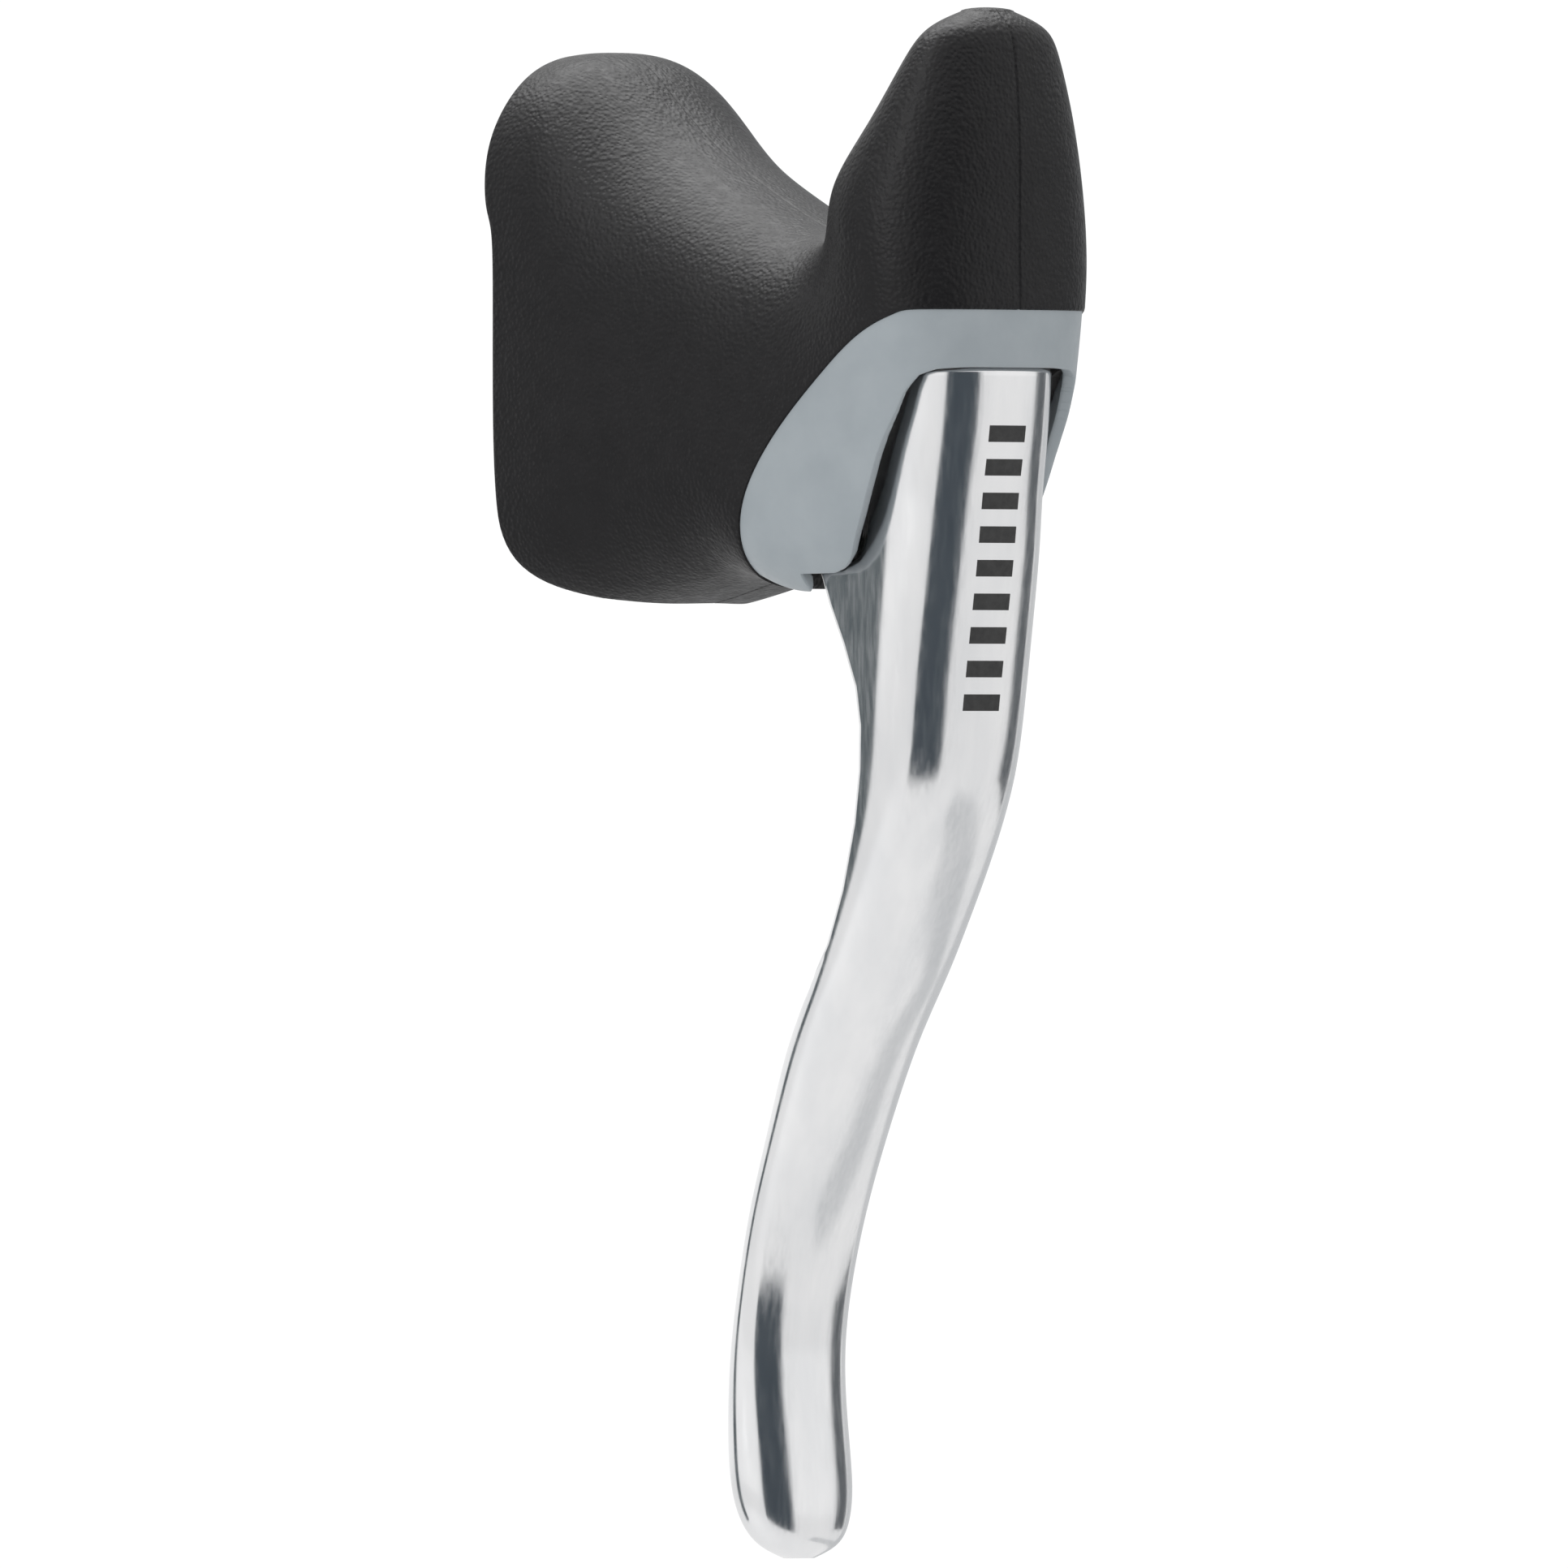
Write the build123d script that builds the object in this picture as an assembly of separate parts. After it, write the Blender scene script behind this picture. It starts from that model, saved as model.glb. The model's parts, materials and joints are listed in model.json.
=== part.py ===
from build123d import *
import math
import os

# Road bicycle brake lever for a drop handlebar: bracket, rubber hood, cable lever and clamp.
# Frame: origin at the centre of the handlebar clamp, +Z up along the bar,
# +X forward, towards the lever blade, and +Y sideways. Millimetres.

os.makedirs("parts", exist_ok=True)

# ---- driving dimensions ----
BAR_R = 12.0            # clamp bore radius, for a 23.8 to 24.0 mm handlebar
SADDLE_TOP = 14.0
SADDLE_BOTTOM = -17.0
SADDLE_FRONT = 5.5      # where the saddle's cheeks end, forward of the bar's axis
HOOD_WALL = 2.5         # rubber at the hump
COWL_WALL = 1.7         # grey cover
CORE_GAP = 0.07         # moulding gap between core and what covers it
COWL_STEP = 0.25        # the hood stands proud of the cover by this much
PIVOT = (38.5, -13.0)   # lever pivot in side view, x and z
PIN_R = 3.0
CAVITY_HALF = 10.2      # half width between the bracket's cheeks
EAR_HALF = 9.1          # half width of the lever's ears inside the cheeks
CHANNEL_WALL = 2.0      # lever's side walls
ANCHOR = (47.6, -6.4)   # cable anchor in side view, x and z
ANCHOR_R = 3.9
ANCHOR_HALF = 6.0
HEAD_R = 3.05           # seat for a 6 mm cable head
HEAD_DEPTH = 4.5
STOP_SEAT = (21.6, 7.4)     # floor of the housing seat in side view
STOP_ANGLE = 45.0           # its axis rises rearwards at this angle
STOP_R = 2.6                # for 5 mm housing
STOP_DEPTH = 6.0
BOLT_R = 2.9
BOLT_HEAD_X = 24.9          # under the bolt's head
BOLT_WALL_X = 20.6          # rear face of the wall that the bolt passes
NUT_X = 14.6                # rear face of the nut
NUT_LONG = 5.0
BAND_T = 0.8
BAND_HALF = 6.0             # half of the strap's width
BAND_PIN = (17.1, 7.6)      # strap pin in plan, x and y
BAND_PIN_R = 1.5

# Outer skin: sections fanned round the saddle between the hump and the horn.
# Each row: top point x, z; bottom or front point x, z; place of the widest point
# between them; half width; roundness of the top half and of the bottom half.
SKIN = [
    (-5.0, 31.5, -5.0, -26.0, 0.62, 16.8, 2.80, 5.4),
    (1.5, 31.3, 3.0, -25.9, 0.60, 16.8, 2.65, 5.2),
    (7.5, 26.7, 11.0, -25.4, 0.58, 16.4, 2.50, 4.5),
    (14.0, 21.5, 19.0, -24.0, 0.56, 15.7, 2.45, 4.1),
    (22.0, 16.9, 27.0, -23.1, 0.54, 15.1, 2.60, 4.2),
    (29.0, 13.6, 37.2, -24.8, 0.52, 14.4, 2.70, 4.4),
    (34.5, 12.6, 51.5, -20.5, 0.50, 14.2, 2.60, 3.2),
    (38.0, 14.6, 56.9, -2.5, 0.50, 14.7, 2.50, 2.6),
    (39.6, 19.0, 57.2, 10.0, 0.50, 15.0, 2.40, 2.6),
    (43.3, 24.3, 57.2, 21.5, 0.50, 12.9, 2.30, 2.4),
    (46.6, 29.8, 56.6, 30.0, 0.50, 10.2, 2.20, 2.3),
    (48.9, 33.4, 55.8, 33.6, 0.50, 7.8, 2.10, 2.2),
    (50.9, 35.6, 54.2, 35.7, 0.50, 3.8, 2.00, 2.0),
]

SPLIT = 6.5     # station where the skin's two lofts meet

# Lever blade, level by level: z, front x, depth of the front's crown, half width,
# roundness of the front, rear x, roundness of the rear.
BLADE = [
    (-1.8, 56.1, 6.6, 9.7, 2.7, 30.0, 9.0),
    (-8.0, 55.5, 6.6, 9.8, 2.7, 30.0, 9.0),
    (-14.0, 54.5, 6.6, 9.8, 2.7, 30.0, 9.0),
    (-20.0, 53.8, 6.6, 9.85, 2.7, 30.0, 9.0),
    (-28.0, 52.8, 6.7, 10.0, 2.7, 34.0, 9.0),
    (-36.0, 51.7, 6.4, 9.85, 2.7, 40.0, 9.0),
    (-44.0, 50.3, 6.0, 9.5, 2.6, 42.6, 9.0),
    (-52.0, 47.1, 5.2, 9.1, 2.6, 40.6, 9.0),
    (-58.0, 44.2, 4.8, 8.85, 2.5, 38.2, 8.0),
    (-62.5, 41.8, 4.4, 8.7, 2.4, 35.6, 5.0),
    (-66.5, 39.4, 4.0, 8.55, 2.3, 31.9, 2.8),
    (-72.0, 36.5, 3.95, 8.3, 2.2, 28.6, 2.3),
    (-80.0, 32.8, 3.45, 8.0, 2.2, 25.9, 2.2),
    (-88.0, 29.7, 3.15, 7.8, 2.2, 23.4, 2.2),
    (-96.0, 27.6, 3.05, 7.6, 2.2, 21.5, 2.2),
    (-104.0, 26.8, 3.3, 7.6, 2.2, 20.2, 2.2),
    (-112.0, 27.5, 3.8, 7.8, 2.2, 19.9, 2.2),
    (-117.0, 28.0, 3.8, 7.7, 2.2, 20.4, 2.2),
    (-120.4, 28.0, 3.3, 6.8, 2.2, 21.4, 2.2),
    (-122.6, 27.5, 2.4, 4.9, 2.2, 22.7, 2.2),
    (-123.9, 26.2, 1.0, 2.0, 2.0, 24.2, 2.0),
]


def smooth_row(rows, t):
    """Natural cubic spline through rows of numbers placed at 0, 1, 2 ..."""
    n = len(rows)
    size = len(rows[0])
    out = []
    for k in range(size):
        y = [row[k] for row in rows]
        bend = [0.0] * n
        low = [0.0] * n
        for i in range(1, n - 1):
            pivot = 4.0 - low[i - 1]
            low[i] = 1.0 / pivot
            pull = 6.0 * (y[i - 1] - 2.0 * y[i] + y[i + 1])
            bend[i] = (pull - bend[i - 1]) / pivot
        for i in range(n - 2, 0, -1):
            bend[i] -= low[i] * bend[i + 1]
        i = min(int(t), n - 2)
        u = t - i
        v = 1.0 - u
        value = y[i] * v + y[i + 1] * u
        value += (v ** 3 - v) * bend[i] / 6.0 + (u ** 3 - u) * bend[i + 1] / 6.0
        out.append(value)
    return out


def rounded(angle, power):
    """Superellipse coordinates, each -1 to 1, at a polar angle."""
    c = math.cos(angle)
    s = math.sin(angle)
    r = (abs(c) ** power + abs(s) ** power) ** (-1.0 / power)
    return r * c, r * s


def ring_wire(points):
    """Closed smooth wire through evenly numbered points, alike for every section."""
    even = [k / len(points) for k in range(len(points) + 1)]
    return Wire([Edge.make_spline([Vector(*p) for p in points], periodic=True, parameters=even)])


def skin_wire(t, inset):
    """Closed section of the outer skin at station t, drawn in by inset."""
    tx, tz, bx, bz, share, half, top_power, low_power = smooth_row(SKIN, t)
    long = math.hypot(tx - bx, tz - bz)
    ux = (tx - bx) / long
    uz = (tz - bz) / long
    tx -= ux * inset
    tz -= uz * inset
    bx += ux * inset
    bz += uz * inset
    half -= inset
    mx = bx + (tx - bx) * share
    mz = bz + (tz - bz) * share
    points = []
    count = 40
    for k in range(count):
        angle = 2 * math.pi * (k + 0.5) / count
        if math.cos(angle) > 0:
            w, side = rounded(angle, top_power)
            points.append((mx + (tx - mx) * w, half * side, mz + (tz - mz) * w))
        else:
            w, side = rounded(angle, low_power)
            points.append((mx + (mx - bx) * w, half * side, mz + (mz - bz) * w))
    return ring_wire(points)


def skin_run(first, last, inset):
    """Loft of the skin between two stations, with a section at every half station between."""
    stops = [first]
    stops += [k / 2 for k in range(25) if first + 0.2 < k / 2 < last - 0.2]
    stops.append(last)
    return Solid.make_loft([skin_wire(t, inset) for t in stops])


def skin_solid(first, last, inset):
    """The skin between two stations, lofted behind and in front of the saddle and joined."""
    if last <= SPLIT:
        return skin_run(first, last, inset)
    return skin_run(first, SPLIT, inset) + skin_run(SPLIT, last, inset)


def side_face(points, curved=False):
    """Face in side view from x, z points, joined by lines, or by a spline and closing lines."""
    spots = [Vector(x, 0, z) for x, z in points]
    if curved:
        first = Edge.make_spline(spots[:-2])
        edges = [first]
        edges.append(Edge.make_line(spots[-3], spots[-2]))
        edges.append(Edge.make_line(spots[-2], spots[-1]))
        edges.append(Edge.make_line(spots[-1], spots[0]))
        return Face(Wire(edges))
    return Face(Wire.make_polygon(spots, close=True))


def slab(face, y0, y1):
    """A side-view face made solid between two y values."""
    solid = Solid.extrude(face, Vector(0, y1 - y0, 0))
    return solid.moved(Location((0, y0, 0)))


def rod(radius, start, end):
    """Round rod between two points."""
    a = Vector(*start)
    b = Vector(*end)
    way = b - a
    return Solid.make_cylinder(radius, way.length, Plane(origin=a, z_dir=way))


def box(x0, x1, y0, y1, z0, z1):
    return Solid.make_box(x1 - x0, y1 - y0, z1 - z0).moved(Location((x0, y0, z0)))


def blade_wire(t, wall, rear_cut):
    """Closed level section of the blade. With a wall it is the channel inside."""
    z, front, crown, half, power, rear, rear_power = smooth_row(BLADE, t)
    mid = front - crown
    if wall:
        front -= wall + 0.3
        half -= wall
        mid = front - crown + 0.8
        rear = rear_cut
        rear_power = 9.0
    points = []
    count = 40
    for k in range(count):
        angle = 2 * math.pi * (k + 0.5) / count
        if math.cos(angle) > 0:
            w, side = rounded(angle, power)
            points.append((mid + (front - mid) * w, half * side, z))
        else:
            w, side = rounded(angle, rear_power)
            points.append((mid + (mid - rear) * w, half * side, z))
    return ring_wire(points)


parts = {}


# ---- shared regions in side view ----
px, pz = PIVOT
bar_bore = rod(BAR_R, (0, 0, -60), (0, 0, 60))

# rear and bottom outline of the hood: straight rear rim, rounded lower corner
rim = side_face([
    (-4.0, 40), (-4.2, 30), (-4.8, 24), (-4.8, 19.5), (-4.1, 15.5), (-3.2, 12.5), (-3.0, 5),
    (-3.0, -6), (-2.9, -14), (-2.6, -17.8), (-1.2, -20.9), (1.9, -23.3), (6.6, -25.0), (13, -26.6),
    (80, -30), (80, 40),
], curved=True)

# everything below and in front of the line where rubber meets the grey cover
cover_zone = side_face([
    (75, 4.6), (57, 4.6), (52.6, 4.1), (47.4, 1.7), (41.2, -2.8), (35.6, -8.2), (31.9, -13.6),
    (30.3, -18.6), (30.1, -24), (31, -32), (32, -40), (75, -40),
], curved=True)

# space in front of the cover's walls, where the lever shows
notch_line = [
    (75, -1.3), (56.5, -1.3), (55.3, -1.5), (54.2, -2.1), (52.9, -3.9), (51.9, -6.0), (50.6, -8.3),
    (49.6, -10.3), (48.5, -13.0), (47.0, -16.5), (45.8, -18.9), (44.9, -20.7), (43.6, -22.0),
    (42.2, -22.5), (37.7, -22.6), (37.2, -40), (75, -40),
]
notch = slab(side_face(notch_line), -30, 30)
deep_notch = slab(side_face([(x - 2.6, z) for x, z in notch_line]), -30, 30)

# space inside the bracket for the lever's top, the anchor and the bolt's head
cavity = slab(side_face([
    (75, -1.3), (53.6, -1.3), (52.4, 1.5), (48, 4.6), (41, 6.4), (24, 6.4), (24, -7.5),
    (27.5, -9.5), (30.0, -12.5), (30.4, -16), (30.4, -40), (75, -40),
]), -CAVITY_HALF, CAVITY_HALF)

# ---- skins ----
skin = skin_solid(0, 12, 0.0)
core = skin_solid(0, 10.5, COWL_WALL)

# ---- rubber hood ----
cover_block = slab(cover_zone, -30, 30)
rim_block = slab(rim, -30, 30)
fat_core = skin_solid(0, 10.5, HOOD_WALL)
hood = (skin & rim_block) - cover_block - fat_core
bar_way = rod(BAR_R + 0.5, (0, 0, -60), (0, 0, 8))
hood = hood - bar_way
parts["rubber_hood"] = hood

# ---- grey cover ----
cover = (skin_solid(3.0, 9.0, COWL_STEP) & cover_block) - core - notch - cavity
parts["cowl_cover"] = cover

# ---- bracket core ----
thin_core = skin_solid(3.0, 9.0, COWL_WALL + CORE_GAP) & cover_block
back_core = skin_solid(0, 10.4, HOOD_WALL + CORE_GAP) - cover_block
back_zone = slab(side_face([
    (SADDLE_FRONT, SADDLE_BOTTOM), (SADDLE_FRONT, SADDLE_TOP), (13.2, SADDLE_TOP), (17.5, 22),
    (30, 50), (80, 50), (80, -40), (18, -40), (17.5, -24), (13.0, SADDLE_BOTTOM),
]), -30, 30)
body = (back_core & back_zone) + thin_core
body = body - bar_bore - deep_notch - cavity
body = body - box(0, BOLT_WALL_X, -20, 20, -6.4, 6.4)
body = body - rod(3.1, (0, 0, 0), (30, 0, 0))

# cable stop tunnel
ca = math.cos(math.radians(STOP_ANGLE))
sa = math.sin(math.radians(STOP_ANGLE))
sx, sz = STOP_SEAT


def along_stop(distance):
    """Point on the housing seat's axis, that far rearwards and up from its floor."""
    return (sx - ca * distance, 0, sz + sa * distance)


body = body - rod(3.4, along_stop(-1.0), along_stop(30))
body = body - rod(1.3, along_stop(-1.2), (30.0, 0, 2.6))
stop = rod(3.38, along_stop(-0.98), along_stop(STOP_DEPTH))
stop = stop - rod(STOP_R, along_stop(0), along_stop(STOP_DEPTH + 2))
stop = stop - rod(1.0, along_stop(-3), along_stop(1))
parts["cable_stop"] = stop

# pivot pin, pressed through both cheeks under the cover
pin_end = 11.2
body = body - rod(PIN_R, (px, -40, pz), (px, 40, pz))
pin = rod(PIN_R - 0.01, (px, -pin_end, pz), (px, pin_end, pz))
parts["pivot_pin"] = pin

# rest bumper in a pocket of the front wall, touched by the lever's top
bumper = box(51.4, 54.4, -3.0, 3.0, -1.6, 0.6)
body = body - box(51.3, 54.5, -3.1, 3.1, -2.0, 0.65)
parts["rest_bumper"] = bumper
parts["bracket_body"] = body

# ---- lever blade ----
wires = []
steps = 40
for k in range(steps + 1):
    wires.append(blade_wire((len(BLADE) - 1) * k / steps, 0, 0))
blade_outer = Solid.make_loft(wires)

ear_r = 5.7
ear = []
for k in range(9):
    angle = math.radians(118 + 15.5 * k)
    ear.append((px + ear_r * math.cos(angle), pz + ear_r * math.sin(angle)))
outline = side_face([(44.6, -1.7), (40.5, -6.2)] + ear + [
    (36.8, -20.6), (38.1, -22.6), (39.2, -25.5), (41.1, -29.5), (42.8, -34.0), (43.3, -38.0),
    (43.0, -42.6), (42.0, -48.0), (39.9, -55.0), (37.6, -60.5), (35.6, -63.5), (31.0, -66.5), (20, -72),
    (10, -90), (10, -130), (75, -130), (75, -1.7),
])
blade = blade_outer & slab(outline, -20, 20)

channel_rear = [30, 30, 30, 30, 30, 34, 36, 34, 31, 30]
channel = []
for k in range(17):
    channel.append(blade_wire(k * 0.5, CHANNEL_WALL, channel_rear[min(k // 2, 9)] - 6))
top = channel[0].moved(Location((0, 0, 4)))
hollow = Solid.make_loft([top] + channel)
blade = blade - hollow
step_zone = side_face([
    (53.0, 2), (51.3, -3.0), (49.5, -6.5), (47.9, -9.5), (46.5, -12.5), (45.9, -15.5),
    (45.5, -18.0), (44.8, -19.9), (43.6, -21.2), (42.0, -21.9), (40.0, -22.3), (25, -22.4), (25, 2),
])
blade = blade - slab(step_zone, EAR_HALF, 20) - slab(step_zone, -20, -EAR_HALF)
bush_r = 4.2
blade = blade - rod(bush_r, (px, -20, pz), (px, 20, pz))
ax, az = ANCHOR
anchor_pin_r = 2.4
blade = blade - rod(anchor_pin_r + 0.04, (ax, -20, az), (ax, 20, az))
parts["lever_blade"] = blade

# bushes, washers
inner = EAR_HALF - CHANNEL_WALL + 0.6
for name, side in (("left", 1), ("right", -1)):
    bush = rod(bush_r, (px, side * (inner - 0.9), pz), (px, side * EAR_HALF, pz))
    bush = bush - rod(PIN_R + 0.04, (px, -20, pz), (px, 20, pz))
    parts["pivot_bush_" + name] = bush
    washer = rod(5.2, (px, side * (EAR_HALF + 0.02), pz), (px, side * (CAVITY_HALF - 0.1), pz))
    washer = washer - rod(PIN_R + 0.05, (px, -20, pz), (px, 20, pz))
    parts["pivot_washer_" + name] = washer

# printed mark, a thin film on the front of the blade
film_wires = []
for k in range(13):
    t = 0.4 + 0.4 * k
    z, front, crown, half, power, rear, rear_power = smooth_row(BLADE, t)
    points = []
    for j in range(44):
        w, side = rounded(2 * math.pi * (j + 0.5) / 44, power)
        points.append((front - crown + (crown + 0.12) * w, (half + 0.12) * side, z))
    film_wires.append(ring_wire(points))
film = Solid.make_loft(film_wires)
mark = (film & box(49.5, 70, -2.7, 2.7, -37.5, -6.5)) - blade_outer
parts["lever_mark"] = mark

# ---- cable anchor ----
ux = STOP_SEAT[0] + 1.5 - ax
uz = STOP_SEAT[1] - 2.0 - az
ul = math.hypot(ux, uz)
ux /= ul
uz /= ul
barrel = rod(ANCHOR_R, (ax, -ANCHOR_HALF, az), (ax, ANCHOR_HALF, az))
mouth = (ax - ux * 6, 0, az - uz * 6)
floor = ANCHOR_R - HEAD_DEPTH
barrel = barrel - rod(HEAD_R, (ax - ux * floor, 0, az - uz * floor), mouth)
barrel = barrel - rod(1.0, (ax - ux * 6, 0, az - uz * 6), (ax + ux * 6, 0, az + uz * 6))
stub_in = 3.6
for name, side in (("left", 1), ("right", -1)):
    hole = rod(anchor_pin_r, (ax, side * stub_in, az), (ax, side * 20, az))
    barrel = barrel - hole
    parts["anchor_pin_" + name] = rod(
        anchor_pin_r - 0.01, (ax, side * (stub_in + 0.05), az), (ax, side * (EAR_HALF - 0.1), az)
    )
parts["cable_anchor"] = barrel

# ---- return spring: coil round the pivot with two straight legs ----
wire_r = 0.6
coil_r = 4.0
turns = 4
pitch = 1.45
coil = None
helix = Edge.make_helix(pitch, pitch * turns, coil_r)
section = Face(Wire.make_circle(wire_r, Plane(origin=(coil_r, 0, 0), z_dir=(0, 1, 0.06))))
coil = Solid.sweep(section, Wire([helix]), is_frenet=True)
start = -pitch * turns / 2
coil = coil.rotate(Axis.X, -90).moved(Location((px, start, pz)))
leg_low = rod(wire_r, (px + coil_r, start, pz), (px + 11.3, start, pz - 11.0))
leg_high = rod(wire_r, (px + coil_r, -start, pz), (px - 2.2, -start, pz + 19.0))
spring = coil + leg_low + leg_high
parts["return_spring"] = spring

# ---- clamp ----
head_r = 4.75
head_long = 5.0
bolt = rod(BOLT_R, (13.4, 0, 0), (BOLT_HEAD_X, 0, 0))
bolt = bolt + rod(head_r, (BOLT_HEAD_X, 0, 0), (BOLT_HEAD_X + head_long, 0, 0))
hexagon = Face(Wire.make_polygon([
    Vector(BOLT_HEAD_X + head_long - 3, 2.9 * math.cos(math.radians(60 * k)), 2.9 * math.sin(math.radians(60 * k)))
    for k in range(6)
], close=True))
bolt = bolt - Solid.extrude(hexagon, Vector(6, 0, 0))
parts["clamp_bolt"] = bolt
washer = rod(5.6, (24.02, 0, 0), (BOLT_HEAD_X, 0, 0)) - rod(BOLT_R + 0.1, (20, 0, 0), (30, 0, 0))
parts["clamp_washer"] = washer

bx, by = BAND_PIN
nut = box(NUT_X, NUT_X + NUT_LONG, -4.9, 4.9, -4.2, 4.2)
for side in (1, -1):
    nut = nut + box(NUT_X + 0.6, NUT_X + 4.4, min(0, side * by), max(0, side * by), -2.0, 2.0)
    nut = nut + rod(2.2, (bx, side * by, -2.0), (bx, side * by, 2.0))
for side in (1, -1):
    nut = nut - rod(BAND_PIN_R, (bx, side * by, -9), (bx, side * by, 9))
nut = nut - rod(BOLT_R + 0.05, (0, 0, 0), (40, 0, 0))
parts["clamp_nut"] = nut

# strap: three quarters of a ring, with tangent legs that end in eyes round the pins
mid_r = BAR_R + BAND_T / 2
reach = math.hypot(bx, by)
eye_mid = BAND_PIN_R + 0.05 + BAND_T / 2
touch = math.atan2(by, bx) + math.acos((mid_r + eye_mid) / reach)
ring = rod(BAR_R + BAND_T, (0, 0, -BAND_HALF), (0, 0, BAND_HALF)) - rod(BAR_R, (0, 0, -9), (0, 0, 9))
wedge_x = 40 * math.cos(touch)
wedge_y = 40 * math.sin(touch)
wedge = Face(Wire.make_polygon([
    Vector(0, 0, -9), Vector(wedge_x, wedge_y, -9), Vector(60, wedge_y, -9),
    Vector(60, -wedge_y, -9), Vector(wedge_x, -wedge_y, -9),
], close=True))
band = ring - Solid.extrude(wedge, Vector(0, 0, 18))
nx = math.cos(touch)
ny = math.sin(touch)
for side in (1, -1):
    # the leg leaves the ring square to its radius and meets the outside of the eye
    inner_a = Vector(BAR_R * nx, side * BAR_R * ny, -BAND_HALF)
    outer_a = Vector((BAR_R + BAND_T) * nx, side * (BAR_R + BAND_T) * ny, -BAND_HALF)
    near = BAND_PIN_R + 0.05
    outer_b = Vector(bx - near * nx, side * (by - near * ny), -BAND_HALF)
    inner_b = Vector(bx - (near + BAND_T) * nx, side * (by - (near + BAND_T) * ny), -BAND_HALF)
    leg = Face(Wire.make_polygon([inner_a, outer_a, outer_b, inner_b], close=True))
    band = band + Solid.extrude(leg, Vector(0, 0, 2 * BAND_HALF))
    eye = rod(near + BAND_T, (bx, side * by, -BAND_HALF), (bx, side * by, BAND_HALF))
    band = band + eye
for side in (1, -1):
    band = band - rod(BAND_PIN_R + 0.05, (bx, side * by, -9), (bx, side * by, 9))
    band = band - box(bx - 3.2, bx + 5, min(side * 4, side * 11), max(side * 4, side * 11), -2.3, 2.3)
parts["clamp_band"] = band
for name, side in (("left", 1), ("right", -1)):
    parts["band_pin_" + name] = rod(BAND_PIN_R - 0.01, (bx, side * by, -6.0), (bx, side * by, 6.0))

for name, shape in parts.items():
    export_step(shape, f"parts/{name}.step")
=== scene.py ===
"""Road brake lever with a rubber hood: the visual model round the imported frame."""
import json
import math

import bpy
import numpy as np
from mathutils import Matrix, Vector


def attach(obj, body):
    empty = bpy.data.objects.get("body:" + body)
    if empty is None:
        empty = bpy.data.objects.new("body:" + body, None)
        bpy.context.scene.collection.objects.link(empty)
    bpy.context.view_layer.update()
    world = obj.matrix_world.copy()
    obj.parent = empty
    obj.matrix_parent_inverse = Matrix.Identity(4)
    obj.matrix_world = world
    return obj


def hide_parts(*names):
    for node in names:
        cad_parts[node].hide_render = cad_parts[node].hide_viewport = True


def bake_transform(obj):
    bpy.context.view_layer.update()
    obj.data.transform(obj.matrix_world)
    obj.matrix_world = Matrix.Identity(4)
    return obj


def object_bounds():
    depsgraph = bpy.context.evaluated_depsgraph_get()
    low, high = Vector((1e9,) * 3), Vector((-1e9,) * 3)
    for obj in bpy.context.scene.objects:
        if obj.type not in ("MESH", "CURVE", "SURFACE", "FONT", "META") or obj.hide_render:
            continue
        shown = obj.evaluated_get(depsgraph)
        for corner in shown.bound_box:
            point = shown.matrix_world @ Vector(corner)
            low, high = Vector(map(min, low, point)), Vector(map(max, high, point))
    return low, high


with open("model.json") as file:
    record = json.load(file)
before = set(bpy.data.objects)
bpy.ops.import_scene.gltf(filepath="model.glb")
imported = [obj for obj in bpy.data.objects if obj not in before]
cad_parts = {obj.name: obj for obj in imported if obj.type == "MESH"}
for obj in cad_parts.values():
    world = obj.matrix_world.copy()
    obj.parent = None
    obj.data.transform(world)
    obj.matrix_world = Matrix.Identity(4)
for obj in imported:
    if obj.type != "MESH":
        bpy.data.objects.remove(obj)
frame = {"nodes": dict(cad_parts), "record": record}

CAD_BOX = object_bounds()
MM = 0.001

# ---------------------------------------------------------------- camera, light and floor
scene = bpy.context.scene
scene.view_settings.view_transform = "Standard"


def aim(obj, place, target):
    """Puts a camera, lamp or card at a place and turns its -Z towards the target."""
    obj.location = place
    obj.rotation_euler = (Vector(target) - Vector(place)).to_track_quat("-Z", "Y").to_euler()


def around(azimuth, elevation, distance, centre):
    """A place round a centre, by the camera's angles in degrees."""
    a, e = math.radians(azimuth), math.radians(elevation)
    back = Vector((math.sin(a) * math.cos(e), -math.cos(a) * math.cos(e), math.sin(e)))
    return Vector(centre) + back * distance


MIDDLE = Vector((0.0230, 0.0, -0.0440))
CAMERA_AZIMUTH, CAMERA_ELEVATION, CAMERA_DISTANCE = 45, 0, 4.0
FRAME_WIDTH = 0.1619        # what the camera sees across, at the object
SENSOR = 36
FLOOR_DROP = 0.35           # the floor lies this far below the lever

camera = bpy.data.objects.new("camera", bpy.data.cameras.new("camera"))
scene.collection.objects.link(camera)
scene.camera = camera
camera.data.sensor_width = SENSOR
camera.data.lens = SENSOR * CAMERA_DISTANCE / FRAME_WIDTH
aim(camera, around(CAMERA_AZIMUTH, CAMERA_ELEVATION, CAMERA_DISTANCE, MIDDLE), MIDDLE)

world = bpy.data.worlds.new("studio")
scene.world = world
world.use_nodes = True
world.node_tree.nodes["Background"].inputs["Color"].default_value = (1, 1, 1, 1)
world.node_tree.nodes["Background"].inputs["Strength"].default_value = 1.05


def softbox(name, azimuth, elevation, distance, size, watts):
    """A rectangular soft light, aimed at the object."""
    data = bpy.data.lights.new(name, "AREA")
    data.shape = "RECTANGLE"
    data.size, data.size_y = size
    data.energy = watts
    lamp = bpy.data.objects.new(name, data)
    scene.collection.objects.link(lamp)
    aim(lamp, around(azimuth, elevation, distance, MIDDLE), MIDDLE)
    return lamp


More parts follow.
